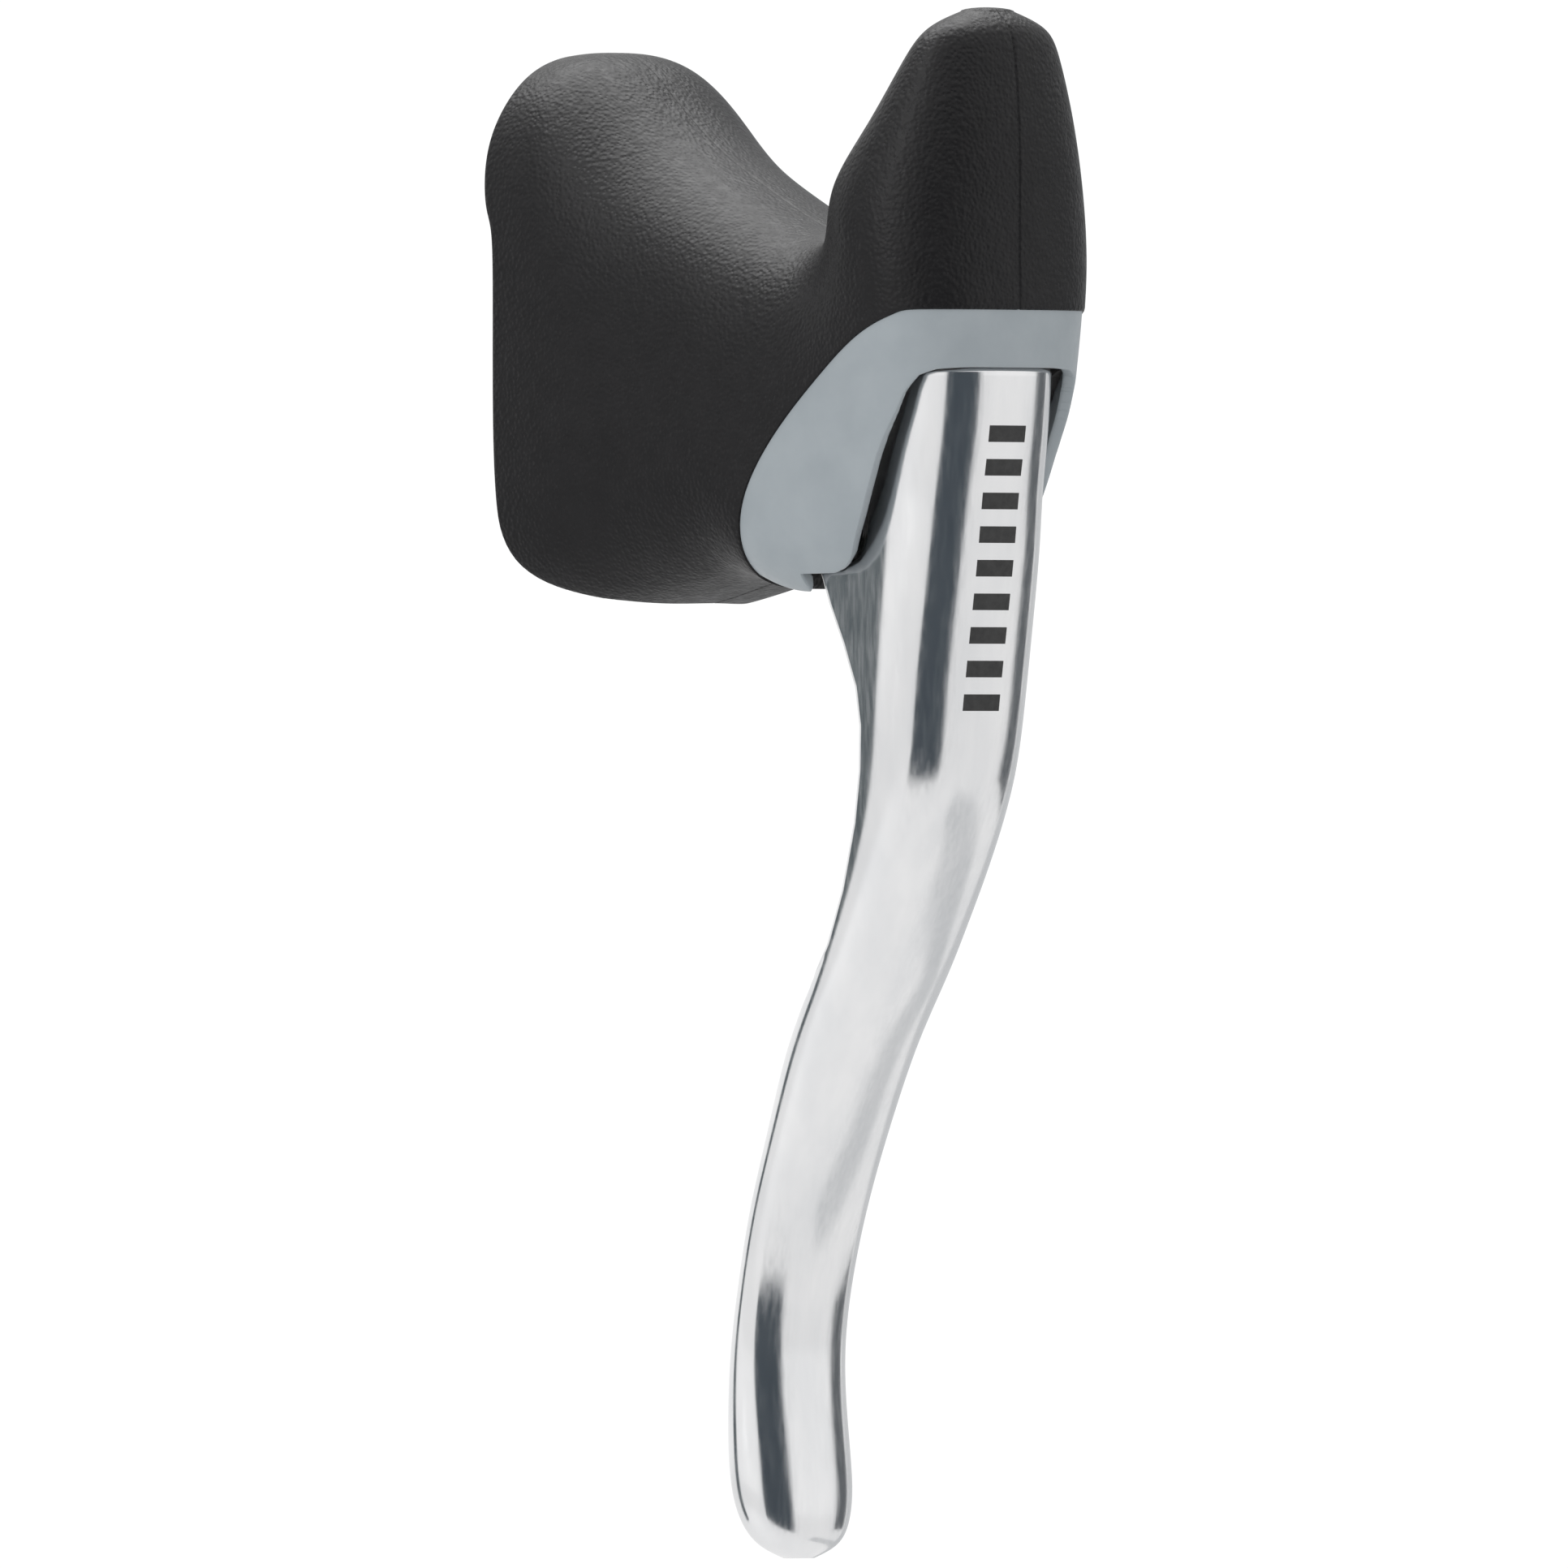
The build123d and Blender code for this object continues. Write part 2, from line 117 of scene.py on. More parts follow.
overhead = softbox("overhead", 235, 80, 0.9, (1.15, 0.95), 18.0)
# it only makes the highlight on the rubber, so the floor and the cover aren't washed out
overhead.visible_diffuse = False
softbox("left", 8, 26, 0.9, (0.40, 0.55), 2.0)


class Look:
    """A procedural material: a Principled shader and a few nodes that feed it."""

    def __init__(self, name, **values):
        self.material = bpy.data.materials.new(name)
        self.material.use_nodes = True
        self.tree = self.material.node_tree
        self.shader = self.tree.nodes["Principled BSDF"]
        self.place = self.add("ShaderNodeTexCoord").outputs["Object"]
        for key, value in values.items():
            self.shader.inputs[key.replace("_", " ")].default_value = value

    def add(self, kind, links=(), **settings):
        """Adds a node, with its inputs linked or set."""
        node = self.tree.nodes.new(kind)
        for key, value in settings.items():
            setattr(node, key, value)
        for key, value in dict(links).items():
            if isinstance(value, bpy.types.NodeSocket):
                self.tree.links.new(value, node.inputs[key])
            else:
                node.inputs[key].default_value = value
        return node

    def stretched(self, scale):
        return self.add("ShaderNodeMapping", {"Vector": self.place, "Scale": scale}).outputs["Vector"]

    def noise(self, size_mm, detail=3.0, roughness=0.55, stretch=(1, 1, 1)):
        """Smooth noise with features of about this size, from 0 to 1."""
        links = {"Vector": self.stretched(stretch), "Scale": 1 / (size_mm * MM), "Detail": detail,
                 "Roughness": roughness}
        return self.add("ShaderNodeTexNoise", links).outputs["Fac"]

    def cells(self, size_mm):
        """Rounded cells of about this size, as in moulded grain."""
        links = {"Vector": self.place, "Scale": 1 / (size_mm * MM)}
        return self.add("ShaderNodeTexVoronoi", links, feature="SMOOTH_F1").outputs["Distance"]

    def spread(self, value, low, high, start=0.35, end=0.65):
        """Maps a value from start..end to low..high."""
        links = {"Value": value, "From Min": start, "From Max": end, "To Min": low, "To Max": high}
        return self.add("ShaderNodeMapRange", links).outputs["Result"]

    def between(self, value, first, second, start=0.35, end=0.65):
        """A colour between two, by a value."""
        ramp = self.add("ShaderNodeValToRGB", {"Fac": value})
        ramp.color_ramp.elements[0].position = start
        ramp.color_ramp.elements[0].color = (*first, 1)
        ramp.color_ramp.elements[1].position = end
        ramp.color_ramp.elements[1].color = (*second, 1)
        return ramp.outputs["Color"]

    def feed(self, key, value):
        self.tree.links.new(value, self.shader.inputs[key])

    def bump(self, height, depth_mm, strength=1.0):
        """Adds a bump of this depth on top of the ones before."""
        links = {"Height": height, "Distance": depth_mm * MM, "Strength": strength}
        if self.shader.inputs["Normal"].links:
            links["Normal"] = self.shader.inputs["Normal"].links[0].from_socket
        self.feed("Normal", self.add("ShaderNodeBump", links).outputs["Normal"])


def grey(value):
    return (value, value, value)


RUBBER_DARK, RUBBER_LIGHT = (0.0050, 0.0047, 0.0054), (0.0066, 0.0062, 0.0070)
COVER_DARK, COVER_LIGHT = (0.250, 0.280, 0.300), (0.275, 0.305, 0.325)
ALLOY_DULL, ALLOY_BRIGHT = (0.71, 0.715, 0.725), (0.78, 0.78, 0.785)


def rubber_look():
    look = Look("rubber_moulded", Specular_IOR_Level=0.22)
    look.feed("Base Color", look.between(look.noise(2.5, 4), RUBBER_DARK, RUBBER_LIGHT))
    look.feed("Roughness", look.spread(look.noise(1.2, 4), 0.40, 0.50))
    look.bump(look.cells(0.42), 0.12, 0.80)
    look.bump(look.noise(0.20, 3), 0.03, 0.45)
    return look.material


def cover_look():
    look = Look("cover_satin_grey", Specular_IOR_Level=0.45)
    look.feed("Base Color", look.between(look.noise(6.0, 4), COVER_DARK, COVER_LIGHT))
    look.feed("Roughness", look.spread(look.noise(0.8, 3), 0.36, 0.46))
    look.bump(look.noise(0.12, 2), 0.006, 0.5)
    return look.material


def alloy_look():
    look = Look("alloy_polished", Metallic=1.0)
    tone = look.noise(5.0, 3, stretch=(1, 1, 0.3))
    look.feed("Base Color", look.between(tone, ALLOY_DULL, ALLOY_BRIGHT))
    look.feed("Roughness", look.spread(look.noise(0.5, 3, stretch=(1, 1, 0.12)), 0.13, 0.20))
    look.bump(look.noise(0.35, 3, stretch=(1, 1, 0.08)), 0.004, 0.4)
    look.bump(look.noise(9.0, 2, stretch=(1, 1, 0.5)), 0.05, 0.5)
    return look.material


def cast_look():
    look = Look("alloy_cast", Metallic=1.0)
    look.feed("Base Color", look.between(look.noise(1.0, 5), grey(0.42), grey(0.58)))
    look.feed("Roughness", look.spread(look.noise(0.5, 3), 0.45, 0.62))
    look.bump(look.noise(0.30, 4), 0.04, 0.6)
    return look.material


def metal_look(name, first, second, rough, stretch=(1, 1, 1), grain=0.25, depth=0.006):
    look = Look(name, Metallic=1.0)
    look.feed("Base Color", look.between(look.noise(1.6, 4), first, second))
    look.feed("Roughness", look.spread(look.noise(grain, 3, stretch=stretch), *rough))
    look.bump(look.noise(grain, 3, stretch=stretch), depth, 0.5)
    return look.material


def plastic_look(name, first, second, rough, grain=0.3, depth=0.01):
    look = Look(name, Specular_IOR_Level=0.4)
    look.feed("Base Color", look.between(look.noise(grain * 3, 4), first, second))
    look.feed("Roughness", look.spread(look.noise(grain, 3), *rough))
    look.bump(look.noise(grain, 3), depth, 0.5)
    return look.material


LOOKS = {
    "rubber": rubber_look(),
    "cover_grey": cover_look(),
    "polished_alloy": alloy_look(),
    "core_black": plastic_look("core_glass_filled", grey(0.018), grey(0.034), (0.42, 0.58)),
    "zinc_steel": metal_look("steel_zinc", (0.50, 0.51, 0.53), (0.66, 0.66, 0.66), (0.24, 0.36)),
    "stainless": metal_look("steel_brushed", grey(0.50), grey(0.60), (0.22, 0.34), (1, 0.1, 1)),
    "brass": metal_look("brass_turned", (0.64, 0.46, 0.19), (0.76, 0.58, 0.28), (0.20, 0.32)),
    "bush_plastic": plastic_look("bush_acetal", grey(0.060), grey(0.090), (0.35, 0.45)),
    "print_black": plastic_look("print_ink", grey(0.012), grey(0.022), (0.35, 0.5)),
}
CAST = cast_look()

for part in frame["record"]["subparts"]:
    node = frame["nodes"][part["node"]]
    for number in range(max(1, len(node.material_slots))):
        if node.material_slots:
            node.material_slots[number].material = LOOKS[part["material_slot"]]
        else:
            node.data.materials.append(LOOKS[part["material_slot"]])


def floor():
    """A wide pale floor, well below the lever, which its handlebar holds in the air."""
    bottom = CAD_BOX[0].z - FLOOR_DROP
    count, radius = 96, 6.0
    ring = []
    for k in range(count):
        angle = 2 * math.pi * k / count
        ring.append((radius * math.cos(angle), radius * math.sin(angle), bottom))
    mesh = bpy.data.meshes.new("floor")
    mesh.from_pydata(ring, [], [list(range(count))])
    look = Look("floor_pale", Roughness=0.9, Specular_IOR_Level=0.1)
    look.feed("Base Color", look.between(look.noise(60, 2), grey(0.890), grey(0.900)))
    mesh.materials.append(look.material)
    obj = bpy.data.objects.new("floor", mesh)
    scene.collection.objects.link(obj)


floor()


def reflection_card(name, azimuth, elevation, distance, size, colour):
    """A glowing card that only glossy rays see: it lights nothing and casts no shadow, and paints a
    dark or pale patch into the reflections on the shiny parts.
    """
    w, h = size[0] / 2, size[1] / 2
    mesh = bpy.data.meshes.new(name)
    mesh.from_pydata([(-w, -h, 0), (w, -h, 0), (w, h, 0), (-w, h, 0)], [], [[0, 1, 2, 3]])
    material = bpy.data.materials.new(name)
    material.use_nodes = True
    nodes = material.node_tree.nodes
    nodes.remove(nodes["Principled BSDF"])
    glow = nodes.new("ShaderNodeEmission")
    glow.inputs["Color"].default_value = (*colour, 1)
    material.node_tree.links.new(glow.outputs["Emission"], nodes["Material Output"].inputs["Surface"])
    mesh.materials.append(material)
    obj = bpy.data.objects.new(name, mesh)
    scene.collection.objects.link(obj)
    aim(obj, around(azimuth, elevation, distance, MIDDLE), MIDDLE)
    obj.visible_camera = False
    obj.visible_diffuse = False
    obj.visible_shadow = False


# an azimuth is the angle from +X towards +Y, plus 90
# painted reflections: these cards glow but are no lamps; the dark ones paint the dark stripes on the
# polished blade, and the pale back and low cards paint its pale bands
reflection_card("card_front", 85, -3, 0.60, (0.56, 0.50), (0.070, 0.085, 0.100))
reflection_card("card_left", -45, -3, 0.60, (0.16, 0.9), (0.10, 0.12, 0.13))
reflection_card("card_right", 165, -1, 0.60, (0.23, 0.34), (0.13, 0.14, 0.15))
reflection_card("card_back", 202, -3, 0.70, (0.56, 1.4), (0.66, 0.67, 0.68))
reflection_card("card_low", 170, -48, 0.70, (0.90, 0.50), (0.68, 0.69, 0.70))


# ---------------------------------------------------------------- shape data, as in the frame
# Outer skin, in sections fanned round the saddle from the hump to the horn:
# top point x, z; bottom or front point x, z; place of the widest point between them;
# half width; roundness of the top half and of the bottom half.
SKIN = np.array([
    (-5.0, 31.5, -5.0, -26.0, 0.62, 16.8, 2.80, 5.4),
    (1.5, 31.3, 3.0, -25.9, 0.60, 16.8, 2.65, 5.2),
    (7.5, 26.7, 11.0, -25.6, 0.58, 16.4, 2.50, 3.7),
    (14.0, 21.5, 19.0, -23.9, 0.56, 15.7, 2.45, 3.6),
    (22.0, 16.9, 27.0, -23.1, 0.54, 15.1, 2.60, 3.9),
    (29.0, 13.6, 37.2, -25.7, 0.52, 14.4, 2.70, 4.6),
    (34.5, 12.6, 51.5, -20.5, 0.50, 14.2, 2.60, 3.2),
    (38.0, 14.6, 56.9, -2.5, 0.50, 14.7, 2.50, 2.6),
    (39.6, 19.0, 57.2, 10.0, 0.50, 15.0, 2.40, 2.6),
    (43.3, 24.3, 57.2, 21.5, 0.50, 12.9, 2.30, 2.4),
    (46.6, 29.8, 56.6, 30.0, 0.50, 10.2, 2.20, 2.3),
    (48.9, 33.4, 55.8, 33.6, 0.50, 7.8, 2.10, 2.2),
    (50.9, 35.3, 54.2, 35.35, 0.50, 3.6, 2.00, 2.0),
])
# blade, level by level: z, front x, depth of the front's crown, half width, roundness
BLADE = np.array([
    (-1.8, 56.1, 7.8, 9.95, 2.6),
    (-8.0, 55.5, 7.8, 10.0, 2.6),
    (-14.0, 54.6, 7.5, 10.0, 2.65),
    (-20.0, 53.9, 7.0, 10.0, 2.7),
    (-28.0, 52.8, 6.7, 10.0, 2.7),
    (-36.0, 51.7, 6.4, 9.85, 2.7),
    (-44.0, 50.3, 6.0, 9.5, 2.6),
    (-52.0, 47.1, 5.2, 9.1, 2.6),
    (-58.0, 44.2, 4.8, 8.85, 2.5),
    (-62.5, 41.8, 4.4, 8.7, 2.4),
    (-66.5, 39.4, 4.0, 8.55, 2.3),
    (-72.0, 36.5, 3.95, 8.3, 2.2),
    (-80.0, 32.8, 3.45, 8.0, 2.2),
    (-88.0, 29.7, 3.15, 7.8, 2.2),
    (-96.0, 27.6, 3.05, 7.6, 2.2),
    (-104.0, 26.8, 3.3, 7.6, 2.2),
    (-112.0, 27.5, 3.8, 7.8, 2.2),
    (-117.0, 28.0, 3.8, 7.7, 2.2),
    (-120.4, 28.0, 3.3, 6.8, 2.2),
    (-122.6, 27.5, 2.4, 4.9, 2.2),
    (-123.9, 26.2, 1.0, 2.0, 2.0),
])
# rear edge of the blade in side view: z, x
BLADE_REAR = np.array([
    (-1.7, 44.6), (-4.0, 42.8), (-6.2, 40.5), (-8.0, 35.8), (-10.5, 33.4), (-13.0, 32.8),
    (-15.5, 33.4), (-18.0, 35.6), (-20.6, 36.8), (-22.6, 38.1), (-25.5, 39.2), (-29.5, 41.1),
    (-34.0, 42.8), (-38.0, 43.3), (-42.6, 43.0), (-48.0, 42.0), (-55.0, 39.9), (-60.5, 37.6),
    (-64.5, 35.0),
])
# side-view lines, as x, z: the hood's rear rim and lower corner
RIM = [
    (-4.0, 40), (-4.2, 30), (-4.8, 24), (-4.8, 19.5), (-4.1, 15.5), (-3.2, 12.5), (-3.0, 5),
    (-3.0, -6), (-2.9, -14), (-2.6, -17.8), (-1.2, -20.9), (1.9, -23.3), (6.6, -25.0), (13, -26.6),
]
# where rubber meets the grey cover
COVER_EDGE = [
    (75, 4.6), (57, 4.6), (52.6, 4.1), (47.4, 1.7), (41.2, -2.8), (35.6, -8.2), (31.9, -13.6),
    (30.3, -18.6), (30.1, -24), (31, -32), (32, -40),
]
# the opening in the cover's front, where the blade shows
NOTCH = [
    (75, -1.3), (56.5, -1.3), (55.3, -1.5), (54.2, -2.1), (52.9, -3.9), (51.9, -6.0), (50.6, -8.3),
    (49.6, -10.3), (48.5, -13.0), (47.0, -16.5), (45.8, -18.9), (44.9, -20.7), (43.6, -22.0),
    (42.2, -22.5), (37.7, -22.6), (37.2, -40), (75, -40),
]
# the blade's ears are stepped in behind this line
STEP = [
    (51.5, 2.0), (49.8, -3.0), (48.2, -6.5), (46.8, -9.5), (45.7, -12.5), (45.3, -15.5), (45.1, -18.0),
    (44.6, -19.9), (43.6, -21.2), (42.0, -21.9), (40.0, -22.3), (25.0, -22.4),
]
PIVOT = (38.5, -13.0)
EAR_HALF = 9.1
HOOD_LIP, HOOD_WALL = 0.45, 2.1     # rolled edge and wall of the rubber
COVER_LIP, COVER_WALL = 0.4, 1.4
THIN_WALL, THIN_BELOW = 0.35, -3.0  # the cover's wall may thin down to this, below this height
COVER_STEP = 0.25                   # the hood stands proud of the cover by this much
COVER_TUCK = 1.2                    # how far the cover reaches under the hood
COVER_STATIONS = (3.6, 8.4)         # the part of the skin that the cover takes
BLADE_ROOM = 10.3                   # half width kept free for the blade
SLOT_HALF, SLOT_REAR, SLOT_TOP = 10.7, 30.0, -20.0
BAR_GAP_R, BAR_GAP_TOP = 12.9, -12.0
SEAM_WIDTH, SEAM_HEIGHT = 0.13, -0.10
SEAM_ANGLES = np.array([-0.018, -0.012, -0.008, -0.004, 0.004, 0.008, 0.012, 0.018])
TIP_RINGS, TIP_LIFT, TIP_TOP = 5, 0.45, 0.46
NEVER = -5.0                        # a distance too low to count


def natural_spline(rows, t):
    """Natural cubic spline through rows placed at 0, 1, 2 ..."""
    y = np.asarray(rows, float)
    n = len(y)
    a = np.eye(n)
    r = np.zeros_like(y)
    for i in range(1, n - 1):
        a[i, i - 1:i + 2] = (1, 4, 1)
        r[i] = 6 * (y[i - 1] - 2 * y[i] + y[i + 1])
    m = np.linalg.solve(a, r)
    t = np.atleast_1d(np.asarray(t, float))
    i = np.clip(t.astype(int), 0, n - 2)
    u = (t - i)[:, None]
    v = 1 - u
    return y[i] * v + y[i + 1] * u + (v ** 3 - v) * m[i] / 6 + (u ** 3 - u) * m[i + 1] / 6


def polar(angle, power):
    """Superellipse coordinates at a polar angle."""
    c, s = np.cos(angle), np.sin(angle)
    r = (np.abs(c) ** power + np.abs(s) ** power) ** (-1 / power)
    return r * c, r * s


def smooth(t):
    """Eases from 0 to 1."""
    t = np.clip(t, 0, 1)
    return t * t * (3 - 2 * t)


def skin_grid(stations, angles, inset, seam=0.0):
    """Points of the outer skin, stations by angles, with angle 0 at the top.

    seam is the height of the parting line, which is sunk where this is negative.
    """
    tx, tz, bx, bz, share, half, top, low = (c[:, None] for c in natural_spline(SKIN, stations).T)
    long = np.hypot(tx - bx, tz - bz)
    ux, uz = (tx - bx) / long, (tz - bz) / long
    tx, tz = tx - ux * inset, tz - uz * inset
    bx, bz = bx + ux * inset, bz + uz * inset
    half = half - inset
    mx, mz = bx + (tx - bx) * share, bz + (tz - bz) * share
    up = np.cos(angles)[None] > 0
    w, side = polar(angles[None], np.where(up, top, low))
    x = mx + np.where(up, tx - mx, mx - bx) * w
    z = mz + np.where(up, tz - mz, mz - bz) * w
    y = half * side
    ridge = seam * np.exp(-(y / SEAM_WIDTH) ** 2) * np.where(up, 1, -1)
    return np.stack([x + ux * ridge, y, z + uz * ridge], -1)


class Outline:
    """A side-view line that measures distances, which are positive on its left."""

    def __init__(self, points, close=False, fine=12):
        p = np.array(points, float)
        if not close:
            p = natural_spline(p, np.linspace(0, len(p) - 1, (len(p) - 1) * fine + 1))
        else:
            p = np.vstack([p, p[:1]])
        self.p = p

    def distance(self, x, z):
        """Signed distance of points from the line, and its gradient."""
        q = np.stack([x, z], -1)
        best = np.full(len(q), 1e9)
        grad = np.zeros_like(q)
        for a, b in zip(self.p[:-1], self.p[1:]):
            ab = b - a
            long = np.hypot(*ab)
            if long < 1e-9:
                continue
            t = np.clip(((q - a) @ ab) / long ** 2, 0, 1)
            d = q - (a + t[:, None] * ab)
            r = np.hypot(d[:, 0], d[:, 1])
            sign = np.sign(ab[0] * d[:, 1] - ab[1] * d[:, 0])
            sign[sign == 0] = 1
            near = r < np.abs(best) - 1e-9
            best[near] = (r * sign)[near]
            grad[near] = (d / np.maximum(r, 1e-9)[:, None] * sign[:, None])[near]
        return best, grad


def clip(grid, keep):
    """Faces of a closed grid where keep is negative, cut along its zero line."""
    rows, cols = keep.shape
    index = {}
    verts, faces = [], []
    p = grid.reshape(-1, 3)
    k = keep.reshape(-1)

    def corner(a):
        if a not in index:
            index[a] = len(verts)
            verts.append(p[a])
        return index[a]

    def cut(a, b):
        key = (a, b) if a < b else (b, a)
        if key not in index:
            a, b = key
            t = min(max(k[a] / (k[a] - k[b]), 0.02), 0.98)
            index[key] = len(verts)
            verts.append(p[a] + (p[b] - p[a]) * t)
        return index[key]

    for i in range(rows - 1):
        for j in range(cols):
            m = (j + 1) % cols
            quad = [i * cols + j, (i + 1) * cols + j, (i + 1) * cols + m, i * cols + m]
            inside = [k[q] < 0 for q in quad]
            if all(inside):
                faces.append([corner(q) for q in quad])
            elif any(inside):
                ring = []
                for a, b, ia, ib in zip(quad, quad[1:] + quad[:1], inside, inside[1:] + inside[:1]):
                    if ia:
                        ring.append(corner(a))
                    if ia != ib:
                        ring.append(cut(a, b))
                if len(ring) > 2:
                    faces.append(ring)
    return np.array(verts), faces


def new_mesh(name, verts, faces, slot, sharp=40):
    """An object from points in mm, smooth but for edges sharper than this many degrees."""
    mesh = bpy.data.meshes.new(name)
    mesh.from_pydata((np.asarray(verts) * MM).tolist(), [], faces)
    mesh.validate()
    mesh.shade_smooth()
    mesh.set_sharp_from_angle(angle=math.radians(sharp))
    mesh.materials.append(LOOKS[slot])
    obj = bpy.data.objects.new(name, mesh)
    scene.collection.objects.link(obj)
    return obj


def vertex_normals(verts, faces):
    """Unit normals of the points, from the faces round them."""
    n = np.zeros_like(verts)
    for f in faces:
        q = verts[f]
        if len(f) == 3:
            n[f] += np.cross(q[1] - q[0], q[2] - q[0])
        else:
            n[f] += np.cross(q[2] - q[0], q[3] - q[1])
    return n / np.maximum(np.linalg.norm(n, axis=1), 1e-12)[:, None]


def shell(name, verts, faces, slot, thick, lip, outward, steps=7):
    """A skin made thick inwards, with a rolled edge. outward(points) points off the skin's edge."""
    n = vertex_normals(verts, faces)
    edges = {}
    for f in faces:
        for a, b in zip(f, f[1:] + f[:1]):
            edges[a, b] = True
    border = [(a, b) for a, b in edges if (b, a) not in edges]
    rim = sorted({a for e in border for a in e})
    g = outward(verts[rim])
    g -= (g * n[rim]).sum(1)[:, None] * n[rim]
    g /= np.maximum(np.linalg.norm(g, axis=1), 1e-9)[:, None]
    count = len(verts)
    place = {v: i for i, v in enumerate(rim)}
    rings = [np.array(rim)]
    points = [verts]
    total = count
    for s in range(1, steps):
        angle = math.pi * s / steps
        c = math.copysign(abs(math.cos(angle)) ** 0.5, math.cos(angle))
        push = math.sin(angle) ** 0.5
        at = thick[rim][:, None] if np.ndim(thick) else thick
        points.append(verts[rim] - n[rim] * at / 2 * (1 - c) + g * lip * push)
        rings.append(total + np.arange(len(rim)))
        total += len(rim)
    at = thick[:, None] if np.ndim(thick) else thick
    points.append(verts - n * at)
    inner = total
    rings.append(inner + np.array(rim))
    out = list(faces)
    out += [[inner + v for v in reversed(f)] for f in faces]
    for lower, upper in zip(rings[:-1], rings[1:]):
        for a, b in border:
            i, j = place[a], place[b]
            out.append([int(lower[j]), int(lower[i]), int(upper[i]), int(upper[j])])
    return new_mesh(name, np.vstack(points), out, slot)


# ---------------------------------------------------------------- rubber hood and grey cover
rim_line = Outline(RIM)
edge_line = Outline(COVER_EDGE)
notch_line = Outline(NOTCH, close=True)
step_line = Outline(STEP)


def combine(parts):
    """The largest of several distances, with the gradient of the one that counts."""
    d = np.stack([p[0] for p in parts])
    g = np.stack([p[1] for p in parts])
    k = d.argmax(0)
    pick = np.arange(d.shape[1])
    return d[k, pick], g[k, pick]


def beside(line, p, sign, shift):
    """Distance from a side-view line, and its gradient in space."""
    d, g = line.distance(p[:, 0], p[:, 2])
    return sign * d + shift, sign * np.stack([g[:, 0], 0 * d, g[:, 1]], -1)


def bar_gap(p):
    """The hood's bottom stays off the handlebar."""
    r = np.hypot(p[:, 0], p[:, 1])
    d = np.where(p[:, 2] < BAR_GAP_TOP, BAR_GAP_R - r, NEVER)
    return d, -np.stack([p[:, 0] / r, p[:, 1] / r, 0 * r], -1)


def slot_gap(p):
    """The cover's bottom is open where the blade swings through."""
    below = (p[:, 2] < SLOT_TOP) & (p[:, 0] > SLOT_REAR)
    d = np.where(below, SLOT_HALF - np.abs(p[:, 1]), NEVER)
    return d, -np.stack([0 * d, np.sign(p[:, 1]), 0 * d], -1)


def hood_region(p):
    """Negative where the skin is rubber."""
    return combine([
        beside(rim_line, p, -1, HOOD_LIP),
        beside(edge_line, p, 1, HOOD_LIP),
        bar_gap(p),
    ])


def cover_region(p):
    """Negative where the skin is the grey cover."""
    return combine([
        beside(edge_line, p, -1, -COVER_TUCK),
        beside(notch_line, p, 1, COVER_LIP),
        slot_gap(p),
    ])


def close_tip(ring, verts, faces):
    """Closes the horn's last ring with a low dome: adds its faces and returns all the points."""
    columns = len(ring)
    centre = ring.mean(0)
    index = {tuple(np.round(v, 6)): i for i, v in enumerate(verts)}
    previous = [index[tuple(np.round(v, 6))] for v in ring]
    points = [verts]
    total = len(verts)
    for k in range(1, TIP_RINGS):
        angle = math.pi / 2 * k / TIP_RINGS
        lift = np.array([0.0, 0, TIP_LIFT * math.sin(angle)])
        points.append(centre + (ring - centre) * math.cos(angle) + lift)
        now = list(range(total, total + columns))
        total += columns
        for j in range(columns):
            m = (j + 1) % columns
            faces.append([previous[j], now[j], now[m], previous[m]])
        previous = now
    points.append((centre + np.array([0.0, 0, TIP_TOP]))[None])
    for j in range(columns):
        faces.append([previous[j], total, previous[(j + 1) % columns]])
    return np.vstack(points)


def hood_skin():
    """The rubber hood, with more columns beside the parting line, which runs round the middle."""
    rows = columns = 300
    angles = np.linspace(0, 2 * math.pi, columns, endpoint=False)
    seams = [SEAM_ANGLES % (2 * math.pi), math.pi + SEAM_ANGLES]
    angles = np.unique(np.round(np.concatenate([angles] + seams), 7))
    grid = skin_grid(np.linspace(0, len(SKIN) - 1, rows), angles, 0.0, SEAM_HEIGHT)
    d, _ = hood_region(grid.reshape(-1, 3))
    verts, faces = clip(grid, d.reshape(rows, len(angles)))
    verts = close_tip(grid[-1], verts, faces)
    outward = lambda p: hood_region(p)[1]
    hood = shell("hood_skin", verts, faces, "rubber", HOOD_WALL, HOOD_LIP, outward)
    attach(hood, "bracket")
    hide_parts("rubber_hood")


def cover_skin():
    """The grey cover. Its wall thins where it curves in at the bottom, clear of the blade."""
    rows, columns = ((300, 340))
    angles = np.linspace(0, 2 * math.pi, columns, endpoint=False)
    grid = skin_grid(np.linspace(*COVER_STATIONS, rows), angles, COVER_STEP)
    d, _ = cover_region(grid.reshape(-1, 3))
    verts, faces = clip(grid, d.reshape(rows, columns))
    across = np.abs(vertex_normals(verts, faces)[:, 1])
    room = (np.abs(verts[:, 1]) - BLADE_ROOM) / np.maximum(across, 0.3)
    thinned = np.clip(room, THIN_WALL, COVER_WALL)
    wall = np.where(verts[:, 2] < THIN_BELOW, thinned, COVER_WALL)
    outward = lambda p: cover_region(p)[1]
    cover = shell("cover_skin", verts, faces, "cover_grey", wall, COVER_LIP, outward)
    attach(cover, "bracket")
    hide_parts("cowl_cover")


hood_skin()
cover_skin()

